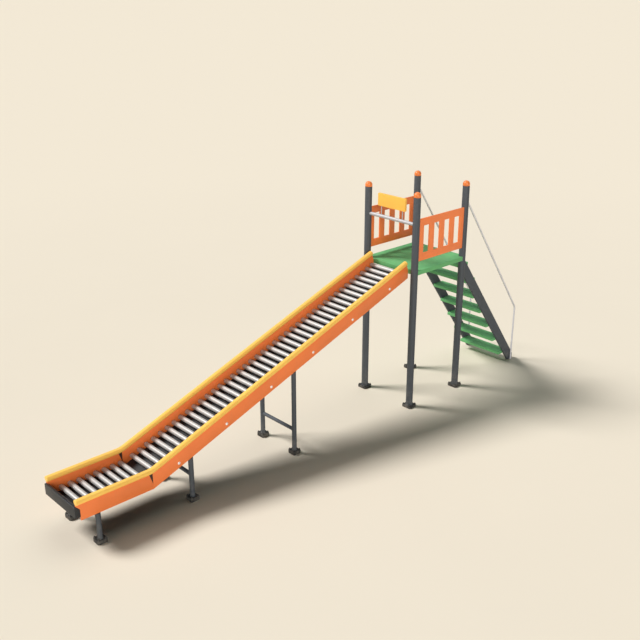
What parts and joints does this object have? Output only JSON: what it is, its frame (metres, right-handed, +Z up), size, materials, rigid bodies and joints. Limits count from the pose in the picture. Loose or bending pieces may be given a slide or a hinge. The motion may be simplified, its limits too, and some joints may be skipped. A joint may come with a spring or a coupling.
{
  "type": "roller slide",
  "caption": "Playground roller slide: a railed four-post tower with an open stair and an inclined run of turning rollers that ends in a level exit.",
  "frame": {"origin": "on the floor, under the middle of the whole object's length and width", "axes": "+X from the slide's exit towards the stair, +Z up, +Y the far side as seen with the exit on the left"},
  "size_m": [7.68, 1.0352, 3.121],
  "materials": {
    "dark_steel": "satin dark grey powder coat",
    "dark_plate": "matte dark grey paint",
    "orange_panel": "orange coloured plastic sheet",
    "orange_cap": "smooth orange plastic",
    "yellow_tube": "satin yellow powder coat",
    "yellow_board": "yellow coloured plastic sheet",
    "green_deck": "satin green non-slip coat",
    "roller_steel": "bright rolled steel",
    "bar_steel": "brushed stainless steel"
  },
  "bodies": {
    "slide": {"post_front_near": "dark_steel", "post_front_far": "dark_steel", "post_back_near": "dark_steel", "post_back_far": "dark_steel", "cap_front_near": "orange_cap", "cap_front_far": "orange_cap", "cap_back_near": "orange_cap", "cap_back_far": "orange_cap", "deck": "green_deck", "guard_near": "orange_panel", "guard_far": "orange_panel", "entry_bar": "bar_steel", "sign_board": "yellow_board", "stringer_near": "dark_steel", "stringer_far": "dark_steel", "tread_1": "green_deck", "tread_2": "green_deck", "tread_3": "green_deck", "tread_4": "green_deck", "tread_5": "green_deck", "tread_6": "green_deck", "tread_7": "green_deck", "handrail_near": "bar_steel", "handrail_far": "bar_steel", "incline_panel_near": "orange_panel", "incline_panel_far": "orange_panel", "exit_panel_near": "orange_panel", "exit_panel_far": "orange_panel", "top_tube_near": "yellow_tube", "top_tube_far": "yellow_tube", "exit_plate": "dark_plate", "incline_tray": "dark_plate", "exit_tray": "dark_plate", "leg_frame_exit": "dark_steel", "leg_frame_knee": "dark_steel", "leg_frame_middle": "dark_steel", "incline_roller_bed": "roller_steel"},
    "roller_e1": {"exit_roller_1": "roller_steel"},
    "roller_e2": {"exit_roller_2": "roller_steel"},
    "roller_e3": {"exit_roller_3": "roller_steel"},
    "roller_e4": {"exit_roller_4": "roller_steel"},
    "roller_e5": {"exit_roller_5": "roller_steel"},
    "roller_e6": {"exit_roller_6": "roller_steel"},
    "roller_e7": {"exit_roller_7": "roller_steel"},
    "roller_e8": {"exit_roller_8": "roller_steel"},
    "roller_i1": {"incline_roller_1": "roller_steel"},
    "roller_i2": {"incline_roller_2": "roller_steel"},
    "roller_i3": {"incline_roller_3": "roller_steel"},
    "roller_i4": {"incline_roller_4": "roller_steel"},
    "roller_i5": {"incline_roller_5": "roller_steel"},
    "roller_i6": {"incline_roller_6": "roller_steel"},
    "roller_i7": {"incline_roller_7": "roller_steel"},
    "roller_i8": {"incline_roller_8": "roller_steel"},
    "roller_i9": {"incline_roller_9": "roller_steel"},
    "roller_i10": {"incline_roller_10": "roller_steel"},
    "roller_i11": {"incline_roller_11": "roller_steel"},
    "roller_i12": {"incline_roller_12": "roller_steel"},
    "roller_i13": {"incline_roller_13": "roller_steel"},
    "roller_i14": {"incline_roller_14": "roller_steel"},
    "roller_i15": {"incline_roller_15": "roller_steel"}
  },
  "joints": [
    {"name": "spin_e1", "type": "hinge", "parent": "slide", "child": "roller_e1", "pos_m": [-3.6615, 0, 0.449], "axis": [0, 1, 0], "continuous": true},
    {"name": "spin_e2", "type": "hinge", "parent": "slide", "child": "roller_e2", "pos_m": [-3.5544, 0, 0.449], "axis": [0, 1, 0], "continuous": true},
    {"name": "spin_e3", "type": "hinge", "parent": "slide", "child": "roller_e3", "pos_m": [-3.4473, 0, 0.449], "axis": [0, 1, 0], "continuous": true},
    {"name": "spin_e4", "type": "hinge", "parent": "slide", "child": "roller_e4", "pos_m": [-3.3402, 0, 0.449], "axis": [0, 1, 0], "continuous": true},
    {"name": "spin_e5", "type": "hinge", "parent": "slide", "child": "roller_e5", "pos_m": [-3.2331, 0, 0.449], "axis": [0, 1, 0], "continuous": true},
    {"name": "spin_e6", "type": "hinge", "parent": "slide", "child": "roller_e6", "pos_m": [-3.126, 0, 0.449], "axis": [0, 1, 0], "continuous": true},
    {"name": "spin_e7", "type": "hinge", "parent": "slide", "child": "roller_e7", "pos_m": [-3.0189, 0, 0.449], "axis": [0, 1, 0], "continuous": true},
    {"name": "spin_e8", "type": "hinge", "parent": "slide", "child": "roller_e8", "pos_m": [-2.9118, 0, 0.449], "axis": [0, 1, 0], "continuous": true},
    {"name": "spin_i1", "type": "hinge", "parent": "slide", "child": "roller_i1", "pos_m": [-2.7475, 0, 0.48573], "axis": [0, 1, 0], "continuous": true},
    {"name": "spin_i2", "type": "hinge", "parent": "slide", "child": "roller_i2", "pos_m": [-2.64694, 0, 0.52259], "axis": [0, 1, 0], "continuous": true},
    {"name": "spin_i3", "type": "hinge", "parent": "slide", "child": "roller_i3", "pos_m": [-2.54639, 0, 0.55946], "axis": [0, 1, 0], "continuous": true},
    {"name": "spin_i4", "type": "hinge", "parent": "slide", "child": "roller_i4", "pos_m": [-2.44583, 0, 0.59632], "axis": [0, 1, 0], "continuous": true},
    {"name": "spin_i5", "type": "hinge", "parent": "slide", "child": "roller_i5", "pos_m": [-2.34528, 0, 0.63318], "axis": [0, 1, 0], "continuous": true},
    {"name": "spin_i6", "type": "hinge", "parent": "slide", "child": "roller_i6", "pos_m": [-2.24472, 0, 0.67005], "axis": [0, 1, 0], "continuous": true},
    {"name": "spin_i7", "type": "hinge", "parent": "slide", "child": "roller_i7", "pos_m": [-2.14417, 0, 0.70691], "axis": [0, 1, 0], "continuous": true},
    {"name": "spin_i8", "type": "hinge", "parent": "slide", "child": "roller_i8", "pos_m": [-2.04361, 0, 0.74377], "axis": [0, 1, 0], "continuous": true},
    {"name": "spin_i9", "type": "hinge", "parent": "slide", "child": "roller_i9", "pos_m": [-1.94305, 0, 0.78064], "axis": [0, 1, 0], "continuous": true},
    {"name": "spin_i10", "type": "hinge", "parent": "slide", "child": "roller_i10", "pos_m": [-1.8425, 0, 0.8175], "axis": [0, 1, 0], "continuous": true},
    {"name": "spin_i11", "type": "hinge", "parent": "slide", "child": "roller_i11", "pos_m": [-1.74194, 0, 0.85437], "axis": [0, 1, 0], "continuous": true},
    {"name": "spin_i12", "type": "hinge", "parent": "slide", "child": "roller_i12", "pos_m": [-1.64139, 0, 0.89123], "axis": [0, 1, 0], "continuous": true},
    {"name": "spin_i13", "type": "hinge", "parent": "slide", "child": "roller_i13", "pos_m": [-1.54083, 0, 0.92809], "axis": [0, 1, 0], "continuous": true},
    {"name": "spin_i14", "type": "hinge", "parent": "slide", "child": "roller_i14", "pos_m": [-1.44027, 0, 0.96496], "axis": [0, 1, 0], "continuous": true},
    {"name": "spin_i15", "type": "hinge", "parent": "slide", "child": "roller_i15", "pos_m": [-1.33972, 0, 1.00182], "axis": [0, 1, 0], "continuous": true}
  ]
}
